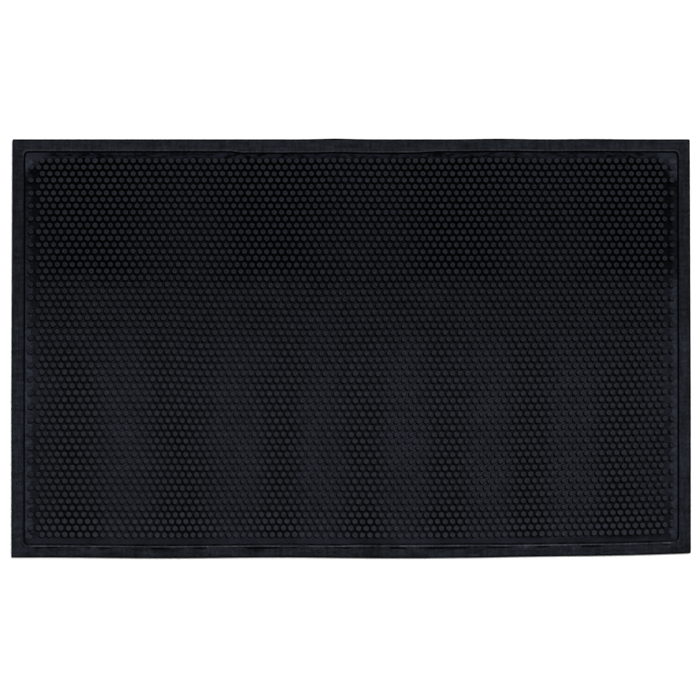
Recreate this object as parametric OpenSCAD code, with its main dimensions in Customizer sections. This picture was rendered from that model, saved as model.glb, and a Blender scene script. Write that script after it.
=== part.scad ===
// Rubber door mat: a flat border band around a panel of upright round studs in staggered rows.
// The mat lies on the ground: the origin is the middle of its underside, +X runs along its length,
// +Y from front to back, and +Z is up. It is one rubber moulding, split here into its sheet, its
// border and its rows of studs. Each row has its own strip of the panel's floor under it.

/* [Mat] */
// Length of the whole mat, side to side
mat_l = 750; // [745:1:900]
// Width of the whole mat, front to back
mat_w = 462; // [459:1:560]
// Thickness of the sheet that underlies the border and the panel
sheet_t = 2; // [1.5:0.25:4]
// Radius of the mat's outer corners
corner_r = 1.5; // [0.5:0.5:6]

/* [Border] */
// Width of the flat border band
border_w = 13.4; // [10:0.2:15]
// Height of the border band above the ground
border_h = 5; // [4.5:0.25:8]
// Width of the sloping edge around the border's outside
edge_bevel = 1; // [0.5:0.25:2]
// Width of the raised bead along the border's inner edge
bead_w = 2; // [1:0.5:4]
// Height of that bead above the border band
bead_h = 0.5; // [0.25:0.25:1]
// Width of the groove between the border and the panel
groove_w = 1.4; // [0.8:0.1:1.6]

/* [Stud panel] */
// Thickness of the panel's floor on top of the sheet
floor_t = 1.5; // [1:0.25:2]
// Radius of the panel's corners
panel_r = 4; // [1:0.5:8]
// Number of rows of studs, an odd number so that the first and the last are short rows
stud_rows = 57; // [9:2:57]
// Number of studs in each long row
long_row_studs = 87; // [21:1:87]
// Distance from the mat's side edge to the centre of a long row's first stud
side_inset = 21.2; // [20.5:0.1:24]
// Distance from the mat's front or back edge to the centre of the nearest row
end_inset = 24.4; // [21:0.1:28]

/* [Stud] */
// Height of the studs above the panel's floor
stud_h = 5.5; // [3:0.25:10]
// Diameter of a stud at the panel's floor
stud_root_d = 7; // [6.6:0.1:7.1]
// Diameter of a stud at its tip
stud_tip_d = 6; // [4:0.1:6.4]

/* [Hidden] */
function row_name(row) = str("stud_row_", row < 10 ? "0" : "", row);

// How far one solid runs into the next where both belong to the same piece
overlap = 0.5;
// How far the bars that cut the bevel run past the ends of the edge they cut
cutter_spare = 5;
// Distance between the studs of a row, and between the rows
stud_pitch = (mat_l - 2 * side_inset) / (long_row_studs - 1);
row_pitch = (mat_w - 2 * end_inset) / (stud_rows - 1);
// A short row starts a stud and a half further in than a long one
short_row_studs = long_row_studs - 3;
// Outline of the panel inside the groove
panel_l = mat_l - 2 * border_w - 2 * groove_w;
panel_w = mat_w - 2 * border_w - 2 * groove_w;
floor_top = sheet_t + floor_t;

$fn = 48;

module rounded_rectangle(length, width, radius) {
    union() {
        square([length - 2 * radius, width], center = true);
        square([length, width - 2 * radius], center = true);
        for (x = [-1, 1], y = [-1, 1])
            translate([x * (length / 2 - radius), y * (width / 2 - radius)])
                circle(r = radius);
    }
}

module ring(length, width, radius, inner_length, inner_width, inner_radius) {
    difference() {
        rounded_rectangle(length, width, radius);
        rounded_rectangle(inner_length, inner_width, inner_radius);
    }
}

// The flat sheet under the whole mat
module base_sheet() {
    color([0.09, 0.1, 0.12])
        linear_extrude(sheet_t)
            rounded_rectangle(mat_l, mat_w, corner_r);
}

// A long square bar lying along X at the mat's back edge, turned 45 degrees, which cuts the bevel
module bevel_cutter(length, edge) {
    translate([0, edge, border_h])
        rotate([45, 0, 0])
            cube([length + 2 * cutter_spare, edge_bevel * sqrt(2), edge_bevel * sqrt(2)], center = true);
}

// The border band with its bevelled outer edge and the bead beside the groove
module border_frame() {
    opening_l = mat_l - 2 * border_w;
    opening_w = mat_w - 2 * border_w;
    opening_r = panel_r + groove_w;
    color([0.11, 0.12, 0.145])
        difference() {
            union() {
                translate([0, 0, sheet_t])
                    linear_extrude(border_h - sheet_t)
                        ring(mat_l, mat_w, corner_r, opening_l, opening_w, opening_r);
                translate([0, 0, border_h - overlap])
                    linear_extrude(bead_h + overlap)
                        ring(opening_l + 2 * bead_w, opening_w + 2 * bead_w, opening_r + bead_w,
                             opening_l, opening_w, opening_r);
            }
            for (side = [0, 180])
                rotate([0, 0, side])
                    bevel_cutter(mat_l, mat_w / 2);
            for (side = [90, 270])
                rotate([0, 0, side])
                    bevel_cutter(mat_w, mat_l / 2);
        }
}

// One tapered stud with a flat tip, rooted a little below the panel's floor
module stud() {
    rotate_extrude()
        polygon([
            [0, -overlap],
            [stud_root_d / 2, -overlap],
            [stud_root_d / 2, 0],
            [stud_tip_d / 2, stud_h],
            [0, stud_h],
        ]);
}

// One row of studs on its strip of floor; the first and last strips reach the panel's edge
module stud_row(row) {
    is_long = row % 2 == 0;
    studs = is_long ? long_row_studs : short_row_studs;
    y = mat_w / 2 - end_inset - (row - 1) * row_pitch;
    back = row == 1 ? panel_w / 2 : y + row_pitch / 2;
    front = row == stud_rows ? -panel_w / 2 : y - row_pitch / 2;
    color([0.14, 0.15, 0.17])
        union() {
            translate([0, 0, sheet_t])
                linear_extrude(floor_t)
                    intersection() {
                        rounded_rectangle(panel_l, panel_w, panel_r);
                        translate([-panel_l / 2, front])
                            square([panel_l, back - front]);
                    }
            for (i = [0:studs - 1])
                translate([(i - (studs - 1) / 2) * stud_pitch, y, floor_top])
                    stud();
        }
}

base_sheet();
border_frame();
for (row = [1:stud_rows])
    stud_row(row);
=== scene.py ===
"""A rubber door mat seen from straight above: its sheet, its border band and its 57 rows of studs."""
import math

import bpy
import numpy as np
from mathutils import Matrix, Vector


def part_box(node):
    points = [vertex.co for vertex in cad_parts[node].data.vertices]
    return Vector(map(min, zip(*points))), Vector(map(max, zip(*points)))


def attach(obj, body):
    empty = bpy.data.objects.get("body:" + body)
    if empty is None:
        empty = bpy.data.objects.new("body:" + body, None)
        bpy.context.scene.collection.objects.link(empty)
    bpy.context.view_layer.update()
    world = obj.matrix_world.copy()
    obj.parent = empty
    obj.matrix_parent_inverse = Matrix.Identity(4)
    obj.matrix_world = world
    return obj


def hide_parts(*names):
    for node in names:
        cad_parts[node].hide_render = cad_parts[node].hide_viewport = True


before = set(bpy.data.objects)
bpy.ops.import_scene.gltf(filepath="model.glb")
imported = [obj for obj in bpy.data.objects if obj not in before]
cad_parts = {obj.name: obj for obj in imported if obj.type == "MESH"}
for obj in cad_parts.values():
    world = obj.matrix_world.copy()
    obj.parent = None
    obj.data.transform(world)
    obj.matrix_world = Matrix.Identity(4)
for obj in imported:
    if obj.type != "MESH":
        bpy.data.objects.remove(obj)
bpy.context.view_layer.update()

MM = 0.001

# ---------------------------------------------------------------- sizes, from the frame
sheet_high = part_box("base_sheet")[1]
ROW_NAMES = sorted(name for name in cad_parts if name.startswith("stud_row_"))
HALF_L, HALF_W = sheet_high.x, sheet_high.y
SHEET_TOP = sheet_high.z
BEAD_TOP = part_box("border_frame")[1].z
PANEL_HALF_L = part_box(ROW_NAMES[1])[1].x
PANEL_HALF_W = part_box(ROW_NAMES[0])[1].y
TIP_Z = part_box(ROW_NAMES[0])[1].z

# ---------------------------------------------------------------- sizes that repeat part.scad's
CORNER_R = 1.5 * MM
BEAD_H = 0.5 * MM
BEAD_W = 2 * MM
EDGE_BEVEL = 1 * MM
GROOVE_W = 1.4 * MM
PANEL_R = 4 * MM
FLOOR_TOP = SHEET_TOP + 1.5 * MM
LONG_ROW_STUDS = 87
SHORT_ROW_STUDS = 84
SIDE_INSET = 21.2 * MM
STUD_ROOT_R = 3.5 * MM
STUD_TIP_R = 3 * MM
BORDER_W = HALF_L - PANEL_HALF_L - GROOVE_W
BORDER_TOP = BEAD_TOP - BEAD_H
STUD_H = TIP_Z - FLOOR_TOP
STUD_PITCH = 2 * (HALF_L - SIDE_INSET) / (LONG_ROW_STUDS - 1)
ROW_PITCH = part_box(ROW_NAMES[1])[1].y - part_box(ROW_NAMES[2])[1].y


# ---------------------------------------------------------------- how the soft sheet lies
def smooth_step(value, low, high):
    """0 up to low, 1 from high on, and a smooth rise between them."""
    t = np.clip((value - low) / (high - low), 0, 1)
    return t * t * (3 - 2 * t)


def bump(value, centre, width):
    """1 at the centre, and 0 well away from it."""
    return np.exp(-((value - centre) / width) ** 2)


def lie(points):
    """The mat isn't quite square: its ends lean in a little towards the back, its front right corner is
    pulled in, and its long edges and the grooves along them wander by up to 1.7 mm."""
    x, y, z = points[:, 0], points[:, 1], points[:, 2]
    groove_y = PANEL_HALF_W + GROOVE_W / 2
    toward_back = np.clip((y + 0.06) / (HALF_W + 0.06), 0, 1)
    toward_front = np.clip((0.06 - y) / (HALF_W + 0.06), 0, 1)
    in_border = smooth_step(np.abs(x), PANEL_HALF_L + GROOVE_W, HALF_L)
    leaning = (0.0012 + 0.0018 * in_border) * toward_back
    # Shifts along Y, in millimetres
    pulled = 4.75 * (np.clip(x - 0.145, 0, None) / 0.218) ** 1.15
    front_edge = 0.1 + 0.45 * np.cos(2 * np.pi * (x + 0.08) / 0.26)
    back_edge = (0.1 + 0.75 * bump(x, -0.018, 0.022) + 0.65 * bump(x, 0.164, 0.03)
                 + 0.4 * bump(x, 0.264, 0.025))
    front_groove = 0.2 + 0.9 * (smooth_step(x, -0.02, 0.01) - smooth_step(x, 0.14, 0.18))
    back_groove = -1.65 * (smooth_step(x, -0.135, -0.12) - smooth_step(x, 0.065, 0.1))
    shift = (pulled * toward_front ** 0.6 + front_edge * toward_front ** 3 + back_edge * toward_back ** 3
             + front_groove * bump(y, -groove_y, 0.005) + back_groove * bump(y, groove_y, 0.005))
    return np.stack([x * (1 - leaning), y + shift * MM, z], axis=1)


# Width of the strip along the panel's edge over which the drift dies away
FIXED_EDGE = 6 * MM


def drift(points):
    """The rows of studs aren't evenly spaced either: they wander to the right at the left third, and
    towards the back by up to half a row. The panel's own edges stay where they are."""
    x, y, z = points[:, 0], points[:, 1], points[:, 2]
    # Shifts to the right and towards the back, in millimetres
    slipped = smooth_step(y, 0.09, -0.15)
    right = (0.4 + 2.2 * bump(x, -0.2, 0.09) + 0.9 * bump(x, 0, 0.12)
             + slipped * (2 * bump(x, -0.23, 0.04) - 2.1 * bump(x, -0.06, 0.1)))
    rise = np.sin(np.pi / 2 * np.clip((0.206 - y) / 0.13, 0, 1))
    fall = smooth_step(y, -0.11, 0.06)
    back = (1.1 + 2.6 * rise * fall - 0.7 * bump(y, 0.2, 0.05)
            + 1.3 * bump(y, -0.01, 0.1) * smooth_step(x, -0.17, -0.2)
            - 1.2 * bump(y, 0.03, 0.05) * bump(x, -0.03, 0.07))
    new_x = x + right * MM * smooth_step(PANEL_HALF_L - np.abs(x), 0, FIXED_EDGE)
    new_y = y + back * MM * smooth_step(PANEL_HALF_W - np.abs(y), 0, FIXED_EDGE)
    return np.stack([new_x, new_y, z], axis=1)


# ---------------------------------------------------------------- mesh building
SHARP_DEGREES = 38


def make_piece(name, points, faces, node, material):
    """One closed mesh from points and lists of corner numbers, standing for a CAD node of the same place."""
    mesh = bpy.data.meshes.new(name)
    points = lie(np.asarray(points, float))
    counts = np.concatenate([np.full(len(f), f.shape[1]) for f in faces])
    corners = np.concatenate([f.ravel() for f in faces])
    mesh.vertices.add(len(points))
    mesh.vertices.foreach_set("co", points.ravel())
    mesh.loops.add(len(corners))
    mesh.loops.foreach_set("vertex_index", corners.astype(np.int32))
    mesh.polygons.add(len(counts))
    starts = np.concatenate([[0], np.cumsum(counts)[:-1]])
    mesh.polygons.foreach_set("loop_start", starts.astype(np.int32))
    mesh.polygons.foreach_set("use_smooth", np.ones(len(counts), bool))
    mesh.update(calc_edges=True)
    mesh.validate()
    mesh.set_sharp_from_angle(angle=math.radians(SHARP_DEGREES))
    mesh.materials.append(material)
    piece = bpy.data.objects.new(name, mesh)
    bpy.context.scene.collection.objects.link(piece)
    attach(piece, "root")
    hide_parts(node)
    return piece


# Points along a long side, along an end, and round a corner of the mat's outline
SIDE_STEPS_X, SIDE_STEPS_Y, CORNER_STEPS = 150, 92, 8


def outline(inset, radius):
    """Points round a rounded rectangle that lies inset within the mat's edge, counter-clockwise from the
    right side's front end."""
    reach_x, reach_y = HALF_L - inset - radius, HALF_W - inset - radius
    along_x = np.linspace(-1, 1, SIDE_STEPS_X, endpoint=False)
    along_y = np.linspace(-1, 1, SIDE_STEPS_Y, endpoint=False)
    turn = np.linspace(0, np.pi / 2, CORNER_STEPS, endpoint=False)
    loop = []
    for quarter, along, reach in ((0, along_y, reach_y), (1, along_x, reach_x),
                                  (2, along_y, reach_y), (3, along_x, reach_x)):
        across = reach_x if reach == reach_y else reach_y
        a = quarter * np.pi / 2
        side = np.stack([np.full(len(along), across + radius), along * reach], axis=1)
        arc = np.stack([across + radius * np.cos(turn), reach + radius * np.sin(turn)], axis=1)
        part = np.concatenate([side, arc])
        spin = np.array([[math.cos(a), math.sin(a)], [-math.sin(a), math.cos(a)]])
        loop.append(part @ spin)
    return np.concatenate(loop)


def swept_points(section):
    """The loops of a section's points (inset, height) round the mat; the corners' radius grows inwards."""
    grow = (PANEL_R + GROOVE_W - CORNER_R) / BORDER_W
    loops = []
    for inset, height in section:
        flat = outline(inset, CORNER_R + grow * inset)
        loops.append(np.column_stack([flat, np.full(len(flat), height)]))
    return np.concatenate(loops), len(loops[0])


def band_faces(loops, size, closed):
    """Quads between loops that follow one another."""
    i = np.arange(size)
    j = (i + 1) % size
    faces = []
    for k in range(loops if closed else loops - 1):
        a, b = k * size, ((k + 1) % loops) * size
        faces.append(np.stack([a + i, a + j, b + j, b + i], axis=1))
    return np.concatenate(faces)


def build_border(material):
    """The flat band: a rounded outer edge, a plain top, and the bead beside the groove. Each of its points
    keeps its distance from the mat's edge, for the material."""
    inner = BORDER_W
    section = [
        (0, SHEET_TOP),
        (0, BORDER_TOP - 1.5 * EDGE_BEVEL),
        (0.03 * EDGE_BEVEL, BORDER_TOP - EDGE_BEVEL),
        (0.3 * EDGE_BEVEL, BORDER_TOP - 0.5 * EDGE_BEVEL),
        (0.8 * EDGE_BEVEL, BORDER_TOP - 0.22 * EDGE_BEVEL),
        (1.5 * EDGE_BEVEL, BORDER_TOP - 0.07 * EDGE_BEVEL),
        (2.2 * EDGE_BEVEL, BORDER_TOP),
        (0.3 * inner, BORDER_TOP),
        (0.5 * inner, BORDER_TOP - 0.06 * MM),
        (0.7 * inner, BORDER_TOP),
        (inner - 1.15 * BEAD_W, BORDER_TOP),
        (inner - 0.95 * BEAD_W, BORDER_TOP + 0.15 * BEAD_H),
        (inner - 0.75 * BEAD_W, BORDER_TOP + 0.75 * BEAD_H),
        (inner - 0.5 * BEAD_W, BEAD_TOP),
        (inner - 0.25 * BEAD_W, BORDER_TOP + 0.8 * BEAD_H),
        (inner - 0.07 * BEAD_W, BORDER_TOP),
        (inner, BORDER_TOP - BEAD_H),
        (inner, SHEET_TOP + 0.3 * MM),
        (inner + 0.3 * MM, SHEET_TOP),
    ]
    points, size = swept_points(section)
    faces = [band_faces(len(section), size, closed=True)]
    piece = make_piece("border_band", points, faces, "border_frame", material)
    insets = np.repeat([inset for inset, _ in section], size)
    piece.data.attributes.new("inset", "FLOAT", "POINT").data.foreach_set("value", insets)


def build_sheet(material):
    """The sheet under everything, with a softened edge where it meets the ground."""
    soft = 0.35 * MM
    section = [
        (soft, 0),
        (0.3 * soft, 0.3 * soft),
        (0, soft),
        (0, SHEET_TOP),
    ]
    points, size = swept_points(section)
    sides = band_faces(len(section), size, closed=False)
    around = np.arange(size)
    under = around[::-1][None, :]
    over = ((len(section) - 1) * size + around)[None, :]
    make_piece("ground_sheet", points, [sides, under, over], "base_sheet", material)


# ---------------------------------------------------------------- the stud panel
FIRST_SEED = 100
RING_STEPS = 16
# Radius and height above the floor, from the root over the rounded tip to the dimple
STUD_PROFILE = [
    (STUD_ROOT_R + 0.1 * MM, 0),
    (STUD_ROOT_R - 0.12 * MM, 0.4 * MM),
    (STUD_TIP_R + 0.05 * MM, STUD_H - 1.1 * MM),
    (STUD_TIP_R - 0.22 * MM, STUD_H - 0.45 * MM),
    (STUD_TIP_R - 0.75 * MM, STUD_H - 0.12 * MM),
    (1.5 * MM, STUD_H),
    (0.9 * MM, STUD_H - 0.35 * MM),
    (0.4 * MM, STUD_H - 0.55 * MM),
]
DIMPLE_FLOOR = STUD_H - 0.6 * MM
# The first ring of the profile that belongs to the dimple
DIMPLE_RING = 6
# Radius of the rounding along the panel's edge
EDGE_ROUND = 0.5 * MM


def dropped(x, y):
    """How far the floor falls away where the panel's edge is rounded over."""
    inside = np.minimum(PANEL_HALF_L - np.abs(x), PANEL_HALF_W - np.abs(y))
    depth = np.clip(EDGE_ROUND - inside, 0, EDGE_ROUND)
    return EDGE_ROUND - np.sqrt(EDGE_ROUND ** 2 - depth ** 2)


def rounded_corner(x, y):
    """Moves points of the panel's square corners onto its round ones."""
    a = np.clip((np.abs(x) - PANEL_HALF_L + PANEL_R) / PANEL_R, 0, 1)
    b = np.clip((np.abs(y) - PANEL_HALF_W + PANEL_R) / PANEL_R, 0, 1)
    both = (a > 0) & (b > 0)
    far = np.where(both, np.hypot(a, b), 1)
    scale = np.where(both, np.maximum(a, b) / far, 1)
    new_x = np.where(both, np.sign(x) * (PANEL_HALF_L - PANEL_R + a * scale * PANEL_R), x)
    new_y = np.where(both, np.sign(y) * (PANEL_HALF_W - PANEL_R + b * scale * PANEL_R), y)
    return new_x, new_y


def floor_lines(row_y, is_first, is_last):
    """The strip's lines across Y, from front to back, and which five of them bound the cells."""
    cell = row_y + np.linspace(-0.5, 0.5, 5) * ROW_PITCH
    edge_steps = np.append([1.8 * MM, 0.9 * MM], np.array([1, 0.5, 0.16, 0]) * EDGE_ROUND)
    if is_first:
        return np.concatenate([cell, PANEL_HALF_W - edge_steps]), 0
    if is_last:
        return np.concatenate([(-PANEL_HALF_W + edge_steps)[::-1], cell]), len(edge_steps)
    return cell, 0


def margin_columns(cells_end):
    """Columns from the last cell's side out to the panel's edge."""
    edge = PANEL_HALF_L - np.array([1, 0.5, 0.16, 0]) * EDGE_ROUND
    if PANEL_HALF_L - cells_end < PANEL_R:
        return edge
    plain = np.linspace(cells_end, PANEL_HALF_L - PANEL_R, 4)[1:]
    bend = PANEL_HALF_L - np.array([0.75, 0.5, 0.25]) * PANEL_R
    return np.concatenate([plain, bend, edge])


# The 16 points round a cell's rectangle, as steps of its 4 by 4 grid, starting at the middle of the
# right side and running counter-clockwise, so that each faces one point of the stud's rings
CELL_STEPS = [(4, 2), (4, 3), (4, 4), (3, 4), (2, 4), (1, 4), (0, 4), (0, 3),
              (0, 2), (0, 1), (0, 0), (1, 0), (2, 0), (3, 0), (4, 0), (4, 1)]


def stud_points(centre_x, centre_y, draw):
    """The rings and the dimple's floor of every stud in a row, each a little different in lean and size."""
    count = len(centre_x)
    angle = np.arange(RING_STEPS) * 2 * np.pi / RING_STEPS
    lean = draw.normal(0, 0.07 * MM, (count, 2))
    taller = draw.normal(0, 0.06 * MM, count).clip(-0.16 * MM, 0.12 * MM)
    wider = 1 + draw.normal(0, 0.012, count).clip(-0.03, 0.03)
    oval = draw.normal(0, 0.012, count)
    oval_turn = draw.uniform(0, np.pi, count)
    hollow = 1 + draw.normal(0, 0.15, count).clip(-0.3, 0.3)
    rings = []
    for step, (radius, height) in enumerate(STUD_PROFILE):
        up = height / STUD_H
        if step == 0:
            r = np.full((count, RING_STEPS), radius)
        else:
            shape = 1 + oval[:, None] * np.cos(2 * (angle[None, :] - oval_turn[:, None]))
            size = hollow if step >= DIMPLE_RING else wider
            r = radius * size[:, None] * shape
        x = centre_x[:, None] + r * np.cos(angle) + lean[:, :1] * up
        y = centre_y + r * np.sin(angle) + lean[:, 1:] * up
        z = np.full((count, RING_STEPS), FLOOR_TOP + height) + taller[:, None] * up
        rings.append(np.stack([x, y, z], axis=2))
    middle = np.stack([centre_x + lean[:, 0], centre_y + lean[:, 1],
                       FLOOR_TOP + DIMPLE_FLOOR + taller], axis=1)
    return np.stack(rings, axis=1), middle


def row_middle(number):
    """Where a row lies across the mat. The first and last strips also hold the panel's ledge."""
    low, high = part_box(ROW_NAMES[number])
    if number == 0:
        return low.y + ROW_PITCH / 2
    if number == len(ROW_NAMES) - 1:
        return high.y - ROW_PITCH / 2
    return (low.y + high.y) / 2


def floor_grid(columns, lines):
    """The floor's points at every line and column; those inside a stud's cell aren't used."""
    x, y = np.meshgrid(columns, lines)
    z = FLOOR_TOP - dropped(x, y)
    x, y = rounded_corner(x, y)
    return np.stack([x, y, z], axis=2).reshape(-1, 3)


def without_spares(points, faces):
    """Drops the points that no face uses."""
    used = np.unique(np.concatenate([f.ravel() for f in faces]))
    renumber = np.full(len(points), -1)
    renumber[used] = np.arange(len(used))
    return points[used], [renumber[f] for f in faces]


def open_floor(wide, deep, cell_line, cell_column, cell_steps):
    """Quads of the floor's grid outside the studs' cells."""
    line, column = np.meshgrid(np.arange(deep - 1), np.arange(wide - 1), indexing="ij")
    in_cell = ((line >= cell_line) & (line < cell_line + 4)
               & (column >= cell_column) & (column < cell_column + cell_steps))
    corner = (line * wide + column)[~in_cell]
    return np.stack([corner, corner + 1, corner + wide + 1, corner + wide], axis=1)


def stud_faces(rim, ring_start, middle_start, studs):
    """Quads from each cell's rectangle to its stud's root, then up the stud and down into its dimple, and
    the triangles of the dimple's floor."""
    levels = len(STUD_PROFILE)
    step = np.arange(RING_STEPS)
    after = (step + 1) % RING_STEPS
    stud = np.arange(studs)[:, None]
    ring = [ring_start + (stud * levels + level) * RING_STEPS + step for level in range(levels)]
    quads = [np.stack([below, below[:, after], above[:, after], above], axis=2).reshape(-1, 4)
             for below, above in zip([rim] + ring[:-1], ring)]
    centre = np.broadcast_to(middle_start + stud, (studs, RING_STEPS))
    return quads, np.stack([ring[-1], ring[-1][:, after], centre], axis=2).reshape(-1, 3)


def strip_outline(wide, deep):
    """The grid's outermost points, counter-clockwise."""
    across, along = np.arange(wide - 1), np.arange(deep - 1)
    last_line = (deep - 1) * wide
    return np.concatenate([across, along * wide + wide - 1,
                           last_line + across[::-1] + 1, (along[::-1] + 1) * wide])


def build_row(number, material):
    """One strip of the panel's floor with its studs, as one closed mesh that stands on the sheet's top."""
    name = ROW_NAMES[number]
    studs = SHORT_ROW_STUDS if number % 2 == 0 else LONG_ROW_STUDS
    row_y = row_middle(number)
    lines, cell_line = floor_lines(row_y, number == 0, number == len(ROW_NAMES) - 1)
    cells_end = studs * STUD_PITCH / 2
    outer = margin_columns(cells_end)
    inner = np.linspace(-cells_end, cells_end, 4 * studs + 1)
    columns = np.concatenate([-outer[::-1], inner, outer])
    cell_column, wide, deep = len(outer), len(columns), len(lines)

    grid = floor_grid(columns, lines)
    centre_x = (np.arange(studs) - (studs - 1) / 2) * STUD_PITCH
    rings, middle = stud_points(centre_x, row_y, np.random.RandomState(FIRST_SEED + number))
    rings = rings.reshape(-1, 3)
    edge = strip_outline(wide, deep)
    bottom = grid[edge].copy()
    bottom[:, 2] = SHEET_TOP
    points = drift(np.concatenate([grid, rings, middle, bottom]))

    middle_start = len(grid) + len(rings)
    bottom_start = middle_start + studs
    cell_x, cell_y = np.array(CELL_STEPS).T
    rim = (cell_line + cell_y) * wide + cell_column + 4 * np.arange(studs)[:, None] + cell_x
    quads, tips = stud_faces(rim, len(grid), middle_start, studs)
    floor = open_floor(wide, deep, cell_line, cell_column, 4 * studs)
    around = np.arange(len(edge))
    beyond = np.roll(around, -1)
    wall = np.stack([edge[beyond], edge, bottom_start + around, bottom_start + beyond], axis=1)
    under = (bottom_start + around[::-1])[None, :]
    points, faces = without_spares(points, [np.concatenate([floor] + quads + [wall]), tips, under])
    make_piece("studs_" + name[-2:], points, faces, name, material)


# ---------------------------------------------------------------- materials
class Nodes:
    """Short names for the shader nodes that the rubbers are made of."""

    def __init__(self, name):
        self.material = bpy.data.materials.new(name)
        self.material.use_nodes = True
        self.tree = self.material.node_tree
        self.shader = self.tree.nodes["Principled BSDF"]
        self.place = self.tree.nodes.new("ShaderNodeTexCoord").outputs["Object"]

    def put(self, socket, value):
        if isinstance(value, bpy.types.NodeSocket):
            self.tree.links.new(value, socket)
        else:
            socket.default_value = value

    def math(self, operation, a, b=0.0):
        node = self.tree.nodes.new("ShaderNodeMath")
        node.operation = operation
        self.put(node.inputs[0], a)
        self.put(node.inputs[1], b)
        return node.outputs[0]

    def times(self, product, *factors):
        for factor in factors:
            product = self.math("MULTIPLY", product, factor)
        return product

    def axes(self):
        node = self.tree.nodes.new("ShaderNodeSeparateXYZ")
        self.put(node.inputs[0], self.place)
        return node.outputs

    def attribute(self, name):
        node = self.tree.nodes.new("ShaderNodeAttribute")
        node.attribute_name = name
        return node.outputs["Fac"]

    def stretched(self, scale):
        node = self.tree.nodes.new("ShaderNodeMapping")
        self.put(node.inputs["Vector"], self.place)
        node.inputs["Scale"].default_value = scale
        return node.outputs[0]

    def noise(self, size, detail=3.0, rough=0.5, place=None):
        """Noise with features about size metres across, from 0 to 1 around 0.5."""
        node = self.tree.nodes.new("ShaderNodeTexNoise")
        self.put(node.inputs["Vector"], self.place if place is None else place)
        node.inputs["Scale"].default_value = 1 / size
        node.inputs["Detail"].default_value = detail
        node.inputs["Roughness"].default_value = rough
        return node.outputs["Fac"]

    def span(self, value, low, high, new_low=0.0, new_high=1.0, smooth=True):
        node = self.tree.nodes.new("ShaderNodeMapRange")
        node.interpolation_type = "SMOOTHSTEP" if smooth else "LINEAR"
        self.put(node.inputs["Value"], value)
        for socket, number in (("From Min", low), ("From Max", high),
                               ("To Min", new_low), ("To Max", new_high)):
            node.inputs[socket].default_value = number
        return node.outputs[0]

    def patches(self, size, low, high, detail=3.0, rough=0.5, place=None):
        """A factor that wanders between about low and high over patches size metres across."""
        return self.span(self.noise(size, detail, rough, place), 0.3, 0.7, low, high, smooth=False)

    def wave(self, value, length, crest):
        """A cosine wave from 0 to 1, with crests every length metres and one of them at crest."""
        turn = self.math("MULTIPLY", self.math("SUBTRACT", value, crest), 2 * math.pi / length)
        return self.math("ADD", self.math("MULTIPLY", self.math("COSINE", turn), 0.5), 0.5)

    def swing(self, wave, share, low, high):
        """A factor that follows a wave between low and high where share is 1, and is 1 where share is 0."""
        change = self.span(wave, 0, 1, low - 1, high - 1)
        return self.math("ADD", self.math("MULTIPLY", change, share), 1)

    def mix(self, share, a, b):
        node = self.tree.nodes.new("ShaderNodeMix")
        node.data_type = "RGBA"
        self.put(node.inputs[0], share)
        self.put(node.inputs[6], a)
        self.put(node.inputs[7], b)
        return node.outputs[2]

    def dimmed(self, colour, factor):
        node = self.tree.nodes.new("ShaderNodeMix")
        node.data_type = "RGBA"
        node.blend_type = "MULTIPLY"
        node.inputs[0].default_value = 1.0
        self.put(node.inputs[6], colour)
        self.put(node.inputs[7], factor)
        return node.outputs[2]

    def bumped(self, height, depth, under=None):
        node = self.tree.nodes.new("ShaderNodeBump")
        node.inputs["Distance"].default_value = depth
        node.inputs["Strength"].default_value = 1.0
        self.put(node.inputs["Height"], height)
        if under is not None:
            self.put(node.inputs["Normal"], under)
        return node.outputs[0]

    def finish(self, colour, roughness, normal, specular):
        self.put(self.shader.inputs["Base Color"], colour)
        self.put(self.shader.inputs["Roughness"], roughness)
        self.put(self.shader.inputs["Normal"], normal)
        self.shader.inputs["Specular IOR Level"].default_value = specular
        return self.material


SPECULAR = 0.02
# Linear colours, from the blackest to the palest of each kind
# Painted shade in the groove, and painted light along its front
GROOVE_SHADE = (0.0006, 0.0007, 0.0012, 1)
GROOVE_LIGHT = (0.0075, 0.0088, 0.0118, 1)
BORDER_DARK, BORDER_PALE = (0.0088, 0.0104, 0.0142, 1), (0.0100, 0.0116, 0.0153, 1)
# Painted shade on the border's rounded outer edge, and painted shadow for the dashes beside the bead
RIM_SHADE, BEAD_SHADOW = (0.0008, 0.001, 0.0015, 1), (0.0010, 0.0013, 0.0020, 1)
# Painted highlight along the bead
BEAD_HIGHLIGHT = (0.0225, 0.0242, 0.0300, 1)
UNDERSIDE = (0.0085, 0.0100, 0.0135, 1)
# Painted shade: the floor between the studs is painted near black, less so on the open ledges by the sides
# and ends
FLOOR_SHADE, SIDE_BLACK = (0.0004, 0.0005, 0.0009, 1), (0.0014, 0.0018, 0.0029, 1)
END_BLACK = (0.0036, 0.0046, 0.0071, 1)
# Painted light: the floor between the studs, paler still on the open ledges by the sides and ends
FLOOR_LIGHT, SIDE_FLOOR_LIGHT = (0.0082, 0.0098, 0.0138, 1), (0.0178, 0.0212, 0.0297, 1)
END_FLOOR_LIGHT = (0.0090, 0.0106, 0.0146, 1)
WORN_TIP = (0.0165, 0.0186, 0.0236, 1)
# How noise is drawn out into streaks along the mat's length, or into fine threads along either axis
STREAK_X = (0.35, 1, 1)
THREAD_X, THREAD_Y = (0.1, 1, 1), (1, 0.1, 1)


def rubber_finish(n, colour, grain):
    """What every rubber surface shares: a fine moulded grain, and patches that are more and less shiny."""
    fine = n.noise(0.5 * MM, 2.0, 0.6)
    broad = n.noise(4 * MM, 3.0, 0.55)
    roughness = n.patches(25 * MM, 0.62, 0.8, 4.0)
    normal = n.bumped(broad, 0.12 * MM)
    normal = n.bumped(fine, grain, normal)
    return n.finish(colour, roughness, normal, SPECULAR)


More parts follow.
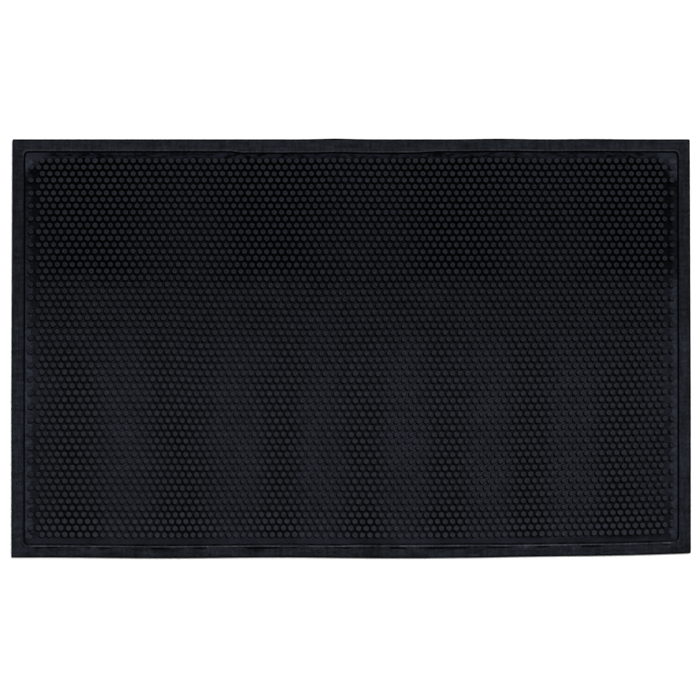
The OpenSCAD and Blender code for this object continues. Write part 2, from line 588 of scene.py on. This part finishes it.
def groove_colour(n, x, y):
    """The groove is painted black with shade at the back and at the ends, and painted paler with light in
    patches along the front.
    """
    along_side = n.span(n.math("ABSOLUTE", x), PANEL_HALF_L, PANEL_HALF_L - 1 * MM, 0.35, 1)
    patchy = n.span(n.noise(12 * MM, 2.0), 0.35, 0.6, 0.2, 1)
    # Painted shade: black in the groove; painted light: paler patches along the front
    return n.mix(n.times(n.span(y, 0.08, -0.04), along_side, patchy), GROOVE_SHADE, GROOVE_LIGHT)


def border_tone(n, front):
    """The border's grain: specks, faint threads that cross, broad patches, and blotches along the front."""
    patches = n.patches(20 * MM, 0.86, 1.14, 5.0, 0.6)
    blotches = n.swing(n.noise(9 * MM, 3.0, 0.6, n.stretched(STREAK_X)), front, 0.3, 1.7)
    speck = n.patches(3 * MM, 0.6, 1.4, 2.0, 0.7)
    across = n.patches(3 * MM, 0.7, 1.3, 2.0, 0.6, n.stretched(THREAD_X))
    along = n.patches(3 * MM, 0.7, 1.3, 2.0, 0.6, n.stretched(THREAD_Y))
    return n.times(patches, blotches, speck, across, along)


def bead_highlight_and_shadow(n, colour, z, inset, long_side, front, away):
    """The bead, painted paler with a highlight along the long sides, most of all along the front away from
    the corners, with broken dark dashes of painted shadow just outside it."""
    # Painted highlight: the bead's top painted paler along the long sides, most at the front
    bead = n.span(z, BORDER_TOP + 0.15 * BEAD_H, BORDER_TOP + 0.8 * BEAD_H)
    bead = n.times(bead, long_side, n.swing(away, front, 0.2, 1))
    colour = n.mix(bead, colour, n.dimmed(BEAD_HIGHLIGHT, n.span(front, 0, 1, 1, 1.4)))
    # Painted shadow: broken dark dashes just outside the bead along the front
    from_foot = n.math("ABSOLUTE", n.math("SUBTRACT", inset, BORDER_W - 1.4 * BEAD_W))
    dashes = n.span(n.noise(10 * MM, 2.0, 0.5, n.stretched(STREAK_X)), 0.42, 0.6)
    bead_shadow = n.times(n.span(from_foot, 1.6 * MM, 0.7 * MM), front, away, dashes)
    return n.mix(bead_shadow, colour, BEAD_SHADOW)


def border_rubber():
    """Plain blue-black rubber. Its rounded outer edge is painted blacker than its top as shade, least so at
    the left end, and its ends are paler towards the front."""
    n = Nodes("border_rubber")
    x, y, z = n.axes()
    inset = n.attribute("inset")
    long_side = n.span(n.math("ABSOLUTE", y), PANEL_HALF_W - 12 * MM, PANEL_HALF_W)
    front = n.span(y, -0.19, -0.2)
    away = n.span(n.math("ABSOLUTE", x), PANEL_HALF_L, PANEL_HALF_L - 14 * MM)

    plain = n.mix(n.noise(60 * MM, 3.0), BORDER_DARK, BORDER_PALE)
    colour = bead_highlight_and_shadow(n, plain, z, inset, long_side, front, away)
    # Painted shade: the rounded outer edge painted blacker, least so at the left end
    rim = n.times(n.span(inset, 2.0 * MM, 1.4 * MM), n.span(x, -HALF_L + 5 * MM, -HALF_L + 8 * MM, 0.4, 1))
    colour = n.mix(rim, colour, RIM_SHADE)
    # Painted shade: the border's inner wall down into the groove takes the groove's painted colour
    inner_wall = n.times(n.span(z, BORDER_TOP - 0.05 * MM, BORDER_TOP - 0.3 * MM),
                         n.span(inset, 0.7 * BORDER_W, 0.8 * BORDER_W))
    colour = n.mix(inner_wall, colour, groove_colour(n, x, y))
    # The border's ends are paler towards the front
    ends_paler_to_front = n.mix(long_side, n.span(y, 0.1, -0.06, 0.86, 1.1), (0.98, 0.98, 0.98, 1))
    return rubber_finish(n, n.dimmed(n.dimmed(colour, border_tone(n, front)), ends_paler_to_front), 0.05 * MM)


def sheet_rubber():
    """The underside and the groove's floor."""
    n = Nodes("sheet_rubber")
    x, y, z = n.axes()
    top = n.span(z, 0.2 * MM, SHEET_TOP - 0.05 * MM)
    # The groove's floor takes the groove's painted shade and light
    colour = n.mix(top, UNDERSIDE, groove_colour(n, x, y))
    return rubber_finish(n, n.dimmed(colour, n.patches(30 * MM, 0.75, 1.25, 4.0, 0.6)), 0.08 * MM)


def light_share(n, x, y):
    """Where the floor between the studs is painted paler, standing in for light: hardly at the back, where it
    is in soft bands, everywhere from the middle to the front, and in the back corners. The first result is
    the front's share alone."""
    ragged = n.math("MULTIPLY", n.math("SUBTRACT", n.noise(30 * MM, 3.0), 0.5), 0.03)
    ragged_y = n.math("ADD", y, ragged)
    back = n.times(n.span(y, 0.2, 0.09, 0.05, 0.2), n.span(n.wave(x, 0.2, 0.014), 0, 1, 0.3, 2.5))
    front = n.math("ADD", n.span(ragged_y, 0.096, 0.058, 0, 0.75), n.span(ragged_y, 0.064, -0.04, 0, 0.25))
    corner = n.math("ADD", n.math("ADD", n.math("ABSOLUTE", x), y), ragged)
    corner_reach = PANEL_HALF_L + PANEL_HALF_W
    corner = n.span(corner, corner_reach - 34 * MM, corner_reach - 16 * MM)
    return front, n.math("MAXIMUM", n.math("MAXIMUM", front, back), corner)


def light_bands(n, x, y):
    """A wave across the mat for the bands of painted light and shade that run from back to front, and how far
    they show at each Y.
    """
    stretched_x = n.math("ADD", x, n.span(x, -0.13, -0.25, 0, 0.033))
    return n.wave(stretched_x, 0.093, 0.0595), n.span(y, 0.07, -0.12)


def painted_floor_light(n, y, out_x, bands, side, end, streaks):
    """Painted light on the floor between the studs: fainter by the mat's ends and in the front rows, paler on
    the ledges and in the back corners."""
    fainter = n.swing(n.span(out_x, 0.285, 0.33), n.span(y, 0.02, -0.1, 0.4, 1), 1, 0.5)
    fainter = n.times(fainter, n.span(y, -0.168, -0.184, 1, 0.7))
    # Painted light: the floor between the studs painted paler, in bands and more so on the ledges
    lit_floor = n.dimmed(n.dimmed(FLOOR_LIGHT, n.swing(*bands, 0.62, 1.85)), fainter)
    lit_floor = n.mix(side, lit_floor, n.dimmed(SIDE_FLOOR_LIGHT, n.span(streaks, 0, 2, 0.75, 1.15)))
    lit_floor = n.mix(end, lit_floor, END_FLOOR_LIGHT)
    lit_floor = n.dimmed(lit_floor, n.span(y, 0.15, 0.19, 1, 1.25))
    return n.dimmed(lit_floor, n.span(n.noise(40 * MM, 3.0, 0.6), 0.35, 0.65, 0.8, 1.2))


def floor_colour(n, x, y, z, bands, painted_light):
    """The panel's floor and its studs' sides: black rubber with painted shade between the studs and painted
    light over it, and the wall to the groove.
    """
    out_x, out_y = n.math("ABSOLUTE", x), n.math("ABSOLUTE", y)
    ragged_x = n.math("ADD", out_x, n.span(n.noise(7 * MM, 3.0, 0.6), 0.4, 0.6, -2.5 * MM, 2.5 * MM))
    side = n.span(ragged_x, PANEL_HALF_L - 8 * MM, PANEL_HALF_L - 5 * MM)
    end = n.span(out_y, PANEL_HALF_W - 9 * MM, PANEL_HALF_W - 5 * MM)
    streaks = n.span(n.noise(4 * MM, 3.0, 0.65, n.stretched((0.4, 1, 1))), 0.38, 0.62, 0, 2)
    # Painted shade: the floor between the studs, paler on the ledges
    shaded_floor = n.dimmed(n.mix(end, n.mix(side, FLOOR_SHADE, SIDE_BLACK), END_BLACK), streaks)
    lit_floor = painted_floor_light(n, y, out_x, bands, side, end, streaks)
    # Less of the painted light reaches up the studs' sides
    lit_floor = n.dimmed(lit_floor, n.span(z, FLOOR_TOP + 0.02 * STUD_H, FLOOR_TOP + 0.3 * STUD_H, 1, 0.5))
    colour = n.mix(painted_light, shaded_floor, lit_floor)
    # Painted shade: the panel's wall down into the groove takes the groove's painted colour
    groove_side = n.span(z, FLOOR_TOP - 0.05 * MM, FLOOR_TOP - 0.3 * MM)
    return n.mix(groove_side, colour, groove_colour(n, x, y))


def tip_colour(n, x, y, bands):
    """Tips are palest along the front edge, darkest at a third from the back, and duller at the ends."""
    worn = n.math("ADD", n.span(y, 0.13, 0.2, 0.81, 0.94), n.span(y, 0.05, -0.06, 0, 0.17))
    worn = n.math("ADD", worn, n.span(y, -0.17, -0.195, 0, 0.2))
    outermost = n.span(n.math("ABSOLUTE", x), PANEL_HALF_L - 11 * MM, PANEL_HALF_L - 8 * MM, 1, 0.85)
    # Tips also vary a little with the bands of painted light
    return n.dimmed(WORN_TIP, n.times(worn, n.swing(*bands, 1.03, 0.95), outermost))


def stud_rubber():
    """Blue-black studs with tips rubbed paler, on a floor painted black with shade towards the back and
    painted paler with light towards the front and in the back corners."""
    n = Nodes("stud_rubber")
    x, y, z = n.axes()
    # Painted light and shade on the floor between the studs, and the share of it at the front
    front, painted_light = light_share(n, x, y)
    bands = light_bands(n, x, y)
    back_tip = n.span(z, FLOOR_TOP + 0.80 * STUD_H, FLOOR_TOP + 0.97 * STUD_H)
    # Where the front's painted light lies, the pale tip colour reaches further down the studs' sides
    front_tip = n.span(z, FLOOR_TOP + 0.60 * STUD_H, FLOOR_TOP + 0.88 * STUD_H)
    tip = n.math("MAXIMUM", back_tip, n.times(front, front_tip))
    colour = n.mix(tip, floor_colour(n, x, y, z, bands, painted_light), tip_colour(n, x, y, bands))
    tone = n.times(n.patches(9 * MM, 0.8, 1.2, 4.0, 0.6), n.patches(1.8 * MM, 0.6, 1.4, 2.0, 0.7))
    return rubber_finish(n, n.dimmed(colour, tone), 0.05 * MM)


# ---------------------------------------------------------------- camera, floor and lights
# How much of the mat's plane the picture spans, and where the camera hangs above it
VIEW_WIDTH = 772.4 * MM
CAMERA_X, CAMERA_Y, CAMERA_HEIGHT = -1.29 * MM, -1.55 * MM, 3.6
SENSOR = 36.0
# Half the studio floor's side, and how far it lies below the mat
FLOOR_HALF, FLOOR_GAP = 6.0, 0.05 * MM
# Name, place, side length in metres and power in watts of each square light
LIGHTS = [
    ("key", (2.1, 2.7, 9.0), 1.4, 865),
    ("left_side", (-2.6, -0.3, 1.6), 1.6, 18),
    ("right_side", (2.6, -0.6, 1.6), 1.6, 10),
]


def make_camera():
    """Straight above, with a long lens, so that the studs show hardly any of their sides."""
    data = bpy.data.cameras.new("camera")
    data.sensor_width = SENSOR
    data.lens = SENSOR * (CAMERA_HEIGHT - BORDER_TOP) / VIEW_WIDTH
    data.clip_end = 20
    camera = bpy.data.objects.new("camera", data)
    camera.location = (CAMERA_X, CAMERA_Y, CAMERA_HEIGHT)
    bpy.context.scene.collection.objects.link(camera)
    bpy.context.scene.camera = camera


def make_floor():
    """A plain white floor, a hair below the mat."""
    mesh = bpy.data.meshes.new("floor")
    corners = [(a * FLOOR_HALF, b * FLOOR_HALF, 0) for a, b in ((-1, -1), (1, -1), (1, 1), (-1, 1))]
    mesh.from_pydata(corners, [], [(0, 1, 2, 3)])
    floor = bpy.data.objects.new("floor", mesh)
    floor.location.z = -FLOOR_GAP
    material = bpy.data.materials.new("floor")
    material.use_nodes = True
    shader = material.node_tree.nodes["Principled BSDF"]
    shader.inputs["Base Color"].default_value = (0.96, 0.96, 0.96, 1)
    shader.inputs["Roughness"].default_value = 0.9
    shader.inputs["Specular IOR Level"].default_value = 0.2
    mesh.materials.append(material)
    bpy.context.scene.collection.objects.link(floor)


def make_light(name, place, size, power):
    """A square soft light that faces the middle of the mat."""
    data = bpy.data.lights.new(name, "AREA")
    data.size = size
    data.energy = power
    light = bpy.data.objects.new(name, data)
    light.location = place
    towards = -light.location
    light.rotation_mode = "QUATERNION"
    light.rotation_quaternion = towards.to_track_quat("-Z", "Y")
    bpy.context.scene.collection.objects.link(light)


# How strong the studio's surroundings are overhead, and in the pale strip just above the horizon, which
# ends between these two heights (sines of the angle above the horizon)
OVERHEAD, HORIZON = 0.2, 0.8
STRIP_END_LOW, STRIP_END_HIGH = 0.105, 0.24


def make_surroundings():
    """Dim light from all over, with a pale backdrop where a low view looks past the floor."""
    world = bpy.data.worlds.new("studio")
    world.use_nodes = True
    tree = world.node_tree
    background = tree.nodes["Background"]
    background.inputs["Color"].default_value = (1, 1, 1, 1)
    split = tree.nodes.new("ShaderNodeSeparateXYZ")
    fade = tree.nodes.new("ShaderNodeMapRange")
    for socket, number in (("From Min", STRIP_END_LOW), ("From Max", STRIP_END_HIGH),
                           ("To Min", HORIZON), ("To Max", OVERHEAD)):
        fade.inputs[socket].default_value = number
    tree.links.new(tree.nodes.new("ShaderNodeTexCoord").outputs["Generated"], split.inputs[0])
    tree.links.new(split.outputs["Z"], fade.inputs["Value"])
    tree.links.new(fade.outputs[0], background.inputs["Strength"])
    bpy.context.scene.world = world


bpy.context.scene.view_settings.view_transform = "Standard"
make_camera()
make_floor()
make_surroundings()
for name, place, size, power in LIGHTS:
    make_light(name, place, size, power)
build_sheet(sheet_rubber())
build_border(border_rubber())
studs_material = stud_rubber()
for number in range(len(ROW_NAMES)):
    build_row(number, studs_material)
